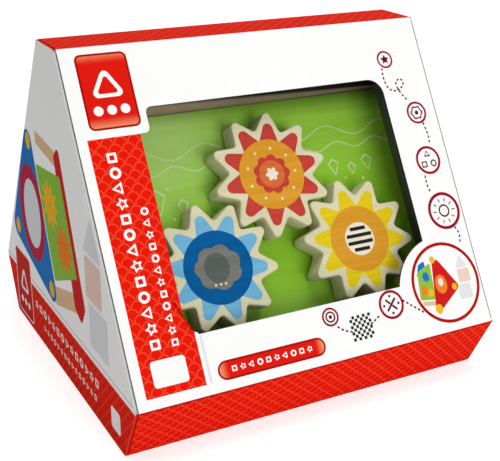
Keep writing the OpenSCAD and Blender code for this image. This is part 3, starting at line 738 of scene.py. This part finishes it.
marks += [plate(bar((-104.5, 19.2), 22, 15.7, 2.2), level=1)]
marks += mark_row((-64.3, 12), (5.8, 0), 10, 2.0, 2)
print_on_front("white_marks", marks, white_ink)
print_on_front("grey_edge_print", [plate(bar((-80.8, 21), 1.8, 29, 0.6))],
               plain_ink("pale_grey_print", ("#E4E4E2", "#EAEAE8")))

# Small prints round the window: red rings with a plain dark red figure in each, a dotted trail from ring
# to ring and a patch of black chequers. All of it is ink on the sloped face.
rings = [((98.1, 189.7), 12.4), ((112.6, 149.9), 15.8), ((111.8, 116.0), 19.8), ((113.7, 79.9), 25.8),
         ((53.7, 26.6), 19.0), ((7.5, 28.0), 12.0)]
trails = [[(94, 183), (93, 177), (94.5, 169.5), (99.5, 166.5), (106, 168.5), (109, 173), (105.5, 175.5),
           (101.5, 172.5), (103, 166.5), (108, 159)],
          [(115.8, 141.5), (117.4, 133), (116.4, 126.8)], [(105.8, 105), (105.4, 98.5), (107.2, 92.6)],
          [(119.2, 67), (121.2, 63), (120, 57.2)], [(11.5, 20.5), (15, 17.6), (20, 15.8)],
          [(36, 18), (40, 19.8), (43.5, 22)], [(63.5, 27.2), (70, 22), (77, 16.6)]]
chequer_middle, chequer_pitch, chequer_size, chequer_count = np.array([28.1, 17.2]), 2.0, 1.98, 8


def trail(points, step=3.2):
    """Dashes in even steps along a smooth line: the corners of the line through the points are cut off
    three times, a quarter of the way along each side."""
    line = np.array(points, float)
    for cut in range(3):
        ahead = np.diff(line, axis=0)
        sides = np.stack([line[:-1] + ahead / 4, line[1:] - ahead / 4], 1).reshape(-1, 2)
        line = np.concatenate([line[:1], sides, line[-1:]])
    walked = np.concatenate([[0], np.cumsum(np.linalg.norm(np.diff(line, axis=0), axis=1))])
    places = np.arange(0, walked[-1], step)
    middles = np.column_stack([np.interp(places, walked, line[:, i]) for i in (0, 1)])
    ahead = np.gradient(line, axis=0)
    turns = np.degrees(np.arctan2(*[np.interp(places, walked, ahead[:, i]) for i in (1, 0)]))
    return [plate(bar(middle, 1.9, 1.2, 0.4, turn)) for middle, turn in zip(middles, turns)]


def around(place, radius, count, turn=0.0):
    """Even places on a circle, with the direction in degrees of each."""
    angle = turn + 360 * np.arange(count) / count
    return [(arc(place, radius, way, way, 0)[0], way) for way in angle]


ring_prints = [plate(disc(place, size / 2, points=64), disc(place, size * 0.44 - 0.6, points=64))
               for place, size in rings]
print_on_front("ring_prints", ring_prints, plain_ink("ring_red_print", ("#9A0D18", "#A6151E")))
spots = [np.array(place) for place, size in rings]
signs = [plate(figure(spots[0], 5, 3.6, 0.5)), outline_of(scallop(spots[1], 5.0, 6, 0.2), 0.76),
         plate(disc(spots[1], 1.5, points=24)), outline_of(figure(spots[2] + (0, 4.0), 3, 3.0), 0.55),
         outline_of(bar(spots[2] + (-3.8, -2.6), 4.4, 4.4, 0.4), 0.6),
         outline_of(disc(spots[2] + (3.8, -2.6), 2.5), 0.6), outline_of(disc(spots[3], 4.4), 0.74),
         plate(bar(spots[4], 10.6, 1.5, turn=45)), outline_of(disc(spots[5], 3.6), 0.7),
         plate(disc(spots[5], 1.2, points=20))]
signs += [plate(bar(place, 2.8, 0.75, turn=way)) for place, way in around(spots[3], 7.6, 10)]
signs += [plate(bar(place, 4.4, 1.5, turn=way)) for place, way in around(spots[4], 3.1, 2, 135)]
signs += [plate(disc(place, 0.9, points=16)) for place, way in around(spots[4], 5.6, 4)]
print_on_front("ring_signs", signs + sum([trail(points) for points in trails], []),
               plain_ink("wine_red_print", ("#640C22", "#711329")))
cells = np.argwhere(np.indices((chequer_count, chequer_count)).sum(0) % 2 == 0)
print_on_front("chequer_print", [plate(bar(place, chequer_size, chequer_size, 0.1)) for place in
                                 chequer_middle + chequer_pitch * (cells - (chequer_count - 1) / 2)],
               plain_ink("black_print", ("#232322", "#2E2E2C")))

# Round picture beside the window: a red ring round a small plain picture of such a toy, with pale play
# blocks. Flat inks lie over each other on the white board.
inset_at = np.array([99.98, 32.47])
picture_inks = {name: plain_ink(name + "_picture_print", tones) for name, tones in {
    "red": ("#CC1A1C", "#D62322"), "green": ("#86BB3A", "#93C546"), "blue": ("#1670BC", "#207CC8"),
    "yellow": ("#EDB41C", "#F4BF2C"), "orange": ("#EB7E22", "#F0892E"), "wood": ("#DDB88A", "#E6C59C"),
    "peach": ("#EACBB9", "#F0D5C6"), "pale": ("#DEDFE2", "#E7E8EA"), "magenta": ("#B3163A", "#BE2044"),
    "silver": ("#D8DCDF", "#E2E6E8")}.items()}


def picture(prefix, layers, origin, place, body):
    """A flat picture: each layer is an ink with its outlines about an origin, and lies on the last."""
    for level, (tone, outlines) in enumerate(layers):
        plates = [plate(np.asarray(line) + origin, level=level) for line in outlines]
        build(f"{prefix}_{level}_{tone}", plates, place, body, picture_inks[tone])


inset_ring = plate(disc(inset_at, 27.2, points=96), disc(inset_at, 25.0, points=96))
print_on_front("inset_ring_print", [inset_ring], plain_ink("inset_red_print", ("#AE120D", "#B81A13")))
picture("inset_picture", [
    ("peach", [rounded([(11, -2.5), (20.5, -2.5), (20.5, 6.5), (11, 6.5)], 0.8)]),
    ("pale", [rounded([(8.5, -13.5), (19, -13.5), (19, -3.5), (8.5, -3.5)], 0.8),
              rounded([(10.5, 7.5), (20.5, 7.5), (15.5, 16)], 0.8)]),
    ("blue", [rounded([(-22, 7), (-14, 8), (-13, 17.5), (-18.5, 15)], 1.2)]),
    ("wood", [rounded([(-21.5, -12), (-11, -13.5), (-11, -10.5), (-22.3, -9)], 0.8)]),
    ("green", [rounded([(-23.2, -8), (-11.5, -9.5), (-9, 15), (-20.5, 10.5)], 1.0)]),
    ("orange", [star(3.6, 2.5, 0.4, 0.3) * (0.9, 1.1) + (-18.4, -2.6)]),
    ("blue", [star(3.4, 2.4, 0.4, 0.3) * (0.9, 1.1) + (-14.8, 6.4)]),
    ("yellow", [star(2.8, 2.0, 0.35, 0.25) * (0.9, 1.1) + (-13.8, -4.6)]),
    ("red", [rounded([(-13.8, -20.8), (10.0, -4.5), (-6.2, 21.8)], 3.2)]),
    ("orange", [disc((-4.2, -0.5), 4.6, 6.4)]),
    ("yellow", [disc((-6.6, 16.6), 2.1, 2.4), disc((-10.6, -16.2), 2.9, 3.2), disc((5.8, -4.0), 2.0, 2.3)]),
    ("pale", [disc((-4.2, 0.9), 2.0, 2.8)]),
], inset_at, on_front, "carton_and_frame")

# End flaps: the same lined board, hinged along the sloped front edge of the wrap and tucked in behind the
# others. The red of the lower bands runs on round them, and the left one carries a plain picture of such a
# toy, a tile and white marks.
fold_shade_grey, fold_white = ("#B6B6B4", "#BEBEBC"), ("#F2F2F1", "#F6F6F5")
low_band = np.array([(-110.7, 0.5), (110.7, 0.5), (130.3, 39.2), (-130.3, 39.2)])
end_line = np.array([(-127, 43.0), (-60, 43.0), (60, 43.0), (127, 43.0)])
tile_middle, tile_size = np.array([88.7, 30.5]), np.array([38.1, 53.0])
tile_rim, tile_round = 1.2, 4.5


def on_end(side):
    """Distances along depth and height and off an end's face, as points in metres; the side is -1 or 1."""
    return lambda depth, up, lift: np.column_stack([side * (carton_length / 2 + lift), depth, up]) * MM


def print_on_end(name, grids, material, side=-1):
    """A printed piece on an end flap, which turns with it."""
    build(name, grids, on_end(side), "left_flap" if side < 0 else "right_flap", material)


# The left flap's grey along the slope is painted shade at the fold.
dress(lined_board("white_lined_left_flap", (1, 1, 1), (red_edge, fold_shade_grey)), "end_flap_left")
dress(lined_board("white_lined_right_flap", (1, 1, 1), (red_edge, fold_white)), "end_flap_right")
grey_line = plain_ink("grey_score_line_shade", ("#8A8A88", "#979795"))
for side, name in ((-1, "left"), (1, "right")):
    print_on_end(f"red_{name}_end_print", [plate(rounded(low_band, 0.6))], red_ink, side)
    # A thin grey line of painted shade along a score line above the red band.
    print_on_end(f"{name}_end_score_line_shade", [ribbon(end_line, 0.5)], grey_line, side)
print_on_end("left_tile_rim", [plate(bar(tile_middle, *tile_size, tile_round), level=1)], white_ink)
print_on_end("left_tile", [plate(bar(tile_middle, *(tile_size - 2 * tile_rim), 3.6), level=2)],
             plain_ink("tile_red_print", ("#C8150D", "#D41F14")))
end_marks = prism_sign(tile_middle, [(-11, -6), (11, -6), (0, 15)], 1, 15, 2.8, 3)
end_marks += mark_row((-66, 26.5), (9.6, 0), 14, 3.4, 1) + mark_row((-62, 14.5), (7.4, 0), 15, 2.4, 1)
end_marks += [plate(bar((-97.5, 17.5), 15, 15, 2.2), level=1)]
print_on_end("left_end_marks", end_marks, white_ink)
picture("left_end_picture", [
    ("peach", [rounded([(-82, 82), (-54, 82), (-54, 110), (-82, 110)], 2.0)]),
    ("pale", [rounded([(-90, 50), (-58, 50), (-58, 80), (-90, 80)], 2.0),
              rounded([(-84, 112), (-52, 112), (-68, 138)], 2.0)]),
    ("wood", [rounded([(-12, 150), (34, 155), (34, 164), (-12, 160)], 2.0),
              rounded([(-38, 62), (10, 48), (12, 61), (-36, 75)], 2.0)]),
    ("red", [rounded([(-51, 70), (-43, 57), (-31, 63), (-4, 157), (-14, 166)], 3.5)]),
    ("green", [rounded([(-38, 86), (9, 66), (37, 140), (-14, 146)], 2.0)]),
    ("orange", [star(16.5, 11, 1.5, 1.3) + (-15, 97)]),
    ("yellow", [star(16.5, 11, 1.5, 1.3) + (10, 120), disc((10, 120), 1)]),
    ("blue", [rounded([(3, 43), (107, 71), (51, 172)], 9.0)]),
    ("magenta", [disc((54, 99), 28, 35, 60)]),
    ("silver", [disc((53, 99), 19, 25, 60)]),
    ("yellow", [disc((51.5, 152), 5, 6), disc((92, 77), 5, 6), disc((18, 56), 5, 6)]),
], (0, 0), on_end(-1), "left_flap")

# Camera: a portrait lens on a 36 mm sensor, above the carton's top and to the left of its middle. It aims
# at the carton's lower half and is rolled by a fraction of a degree.
view_from = Vector((-306.87, -592.03, 351.36)) * MM
view_to = Vector((9.70, -5.23, 82.18)) * MM
sensor_width, lens_length, camera_roll = 36.0, 72.716, 0.693
camera = bpy.data.objects.new("camera", bpy.data.cameras.new("camera"))
camera.data.sensor_width = sensor_width
camera.data.lens = lens_length
camera.location = view_from
camera.rotation_mode = "QUATERNION"
roll = Quaternion((0, 0, 1), np.radians(camera_roll))
camera.rotation_quaternion = (view_to - view_from).to_track_quat("-Z", "Y") @ roll
bpy.context.scene.collection.objects.link(camera)
bpy.context.scene.camera = camera

# Studio: a white paper floor that shows as white and keeps a soft shadow, an even white surround, a soft
# box above the carton and one in front of it, to the right.
floor_reach, floor_glow = 4.0, 0.62
surround_light = 0.4
floor_mesh = bpy.data.meshes.new("floor")
floor_corners = [(-floor_reach, -floor_reach, 0), (floor_reach, -floor_reach, 0),
                 (floor_reach, floor_reach, 0), (-floor_reach, floor_reach, 0)]
floor_mesh.from_pydata(floor_corners, [], [(0, 1, 2, 3)])
floor = bpy.data.objects.new("floor", floor_mesh)
bpy.context.scene.collection.objects.link(floor)


def seen(tree):
    """1 for rays from the camera or off glossy or clear things, and 0 for those that only carry light."""
    path = add(tree, "LightPath", {}).outputs
    straight = add(tree, "Math", {0: path["Is Camera Ray"], 1: path["Is Glossy Ray"]}, operation="MAXIMUM")
    return add(tree, "Math", {0: straight, 1: path["Is Transmission Ray"]}, operation="MAXIMUM")


paper, tree, shader = surface("white_paper_floor", {"Roughness": 0.9, "Specular IOR Level": 0.0})
place = add(tree, "TexCoord", {}).outputs["Object"]
tooth = add(tree, "TexNoise", {"Vector": place, "Scale": 1 / (2 * MM), "Detail": 3})
colour = add(tree, "Mix", {0: tooth, 6: "#F0F0F0", 7: "#F4F4F4"}, data_type="RGBA")
connect(shader, {"Base Color": colour})
strength = add(tree, "Math", {0: seen(tree), 1: floor_glow}, operation="MULTIPLY")
glow = add(tree, "Emission", {"Color": "#FFFFFF", "Strength": strength})
connect(tree.nodes["Material Output"], {"Surface": add(tree, "AddShader", {0: shader, 1: glow})})
floor_mesh.materials.append(paper)
world = bpy.data.worlds.new("white_surround")
world.use_nodes = True
bpy.context.scene.world = world
strength = add(world.node_tree, "MapRange", {"Value": seen(world.node_tree), "To Min": surround_light,
                                             "To Max": 1.0})
connect(world.node_tree.nodes["Background"], {"Color": "#FFFFFF", "Strength": strength})


def soft_box(name, place, aim, size, power):
    """A flat area light of a width and a height that looks from one point at another, in metres."""
    lamp = bpy.data.lights.new(name, "AREA")
    lamp.shape = "RECTANGLE"
    lamp.size, lamp.size_y = size
    lamp.energy = power
    made = bpy.data.objects.new(name, lamp)
    made.location = place
    made.rotation_mode = "QUATERNION"
    made.rotation_quaternion = (Vector(aim) - Vector(place)).to_track_quat("-Z", "Y")
    bpy.context.scene.collection.objects.link(made)


soft_box("top_light", (0.15, -0.2, 1.7), (0, 0, 0.1), (1.0, 1.0), 9.5)
soft_box("front_light", (0.10, -1.84, 0.42), (0, 0, 0.1), (1.1, 0.8), 13.4)
bpy.context.scene.view_settings.view_transform = "Standard"
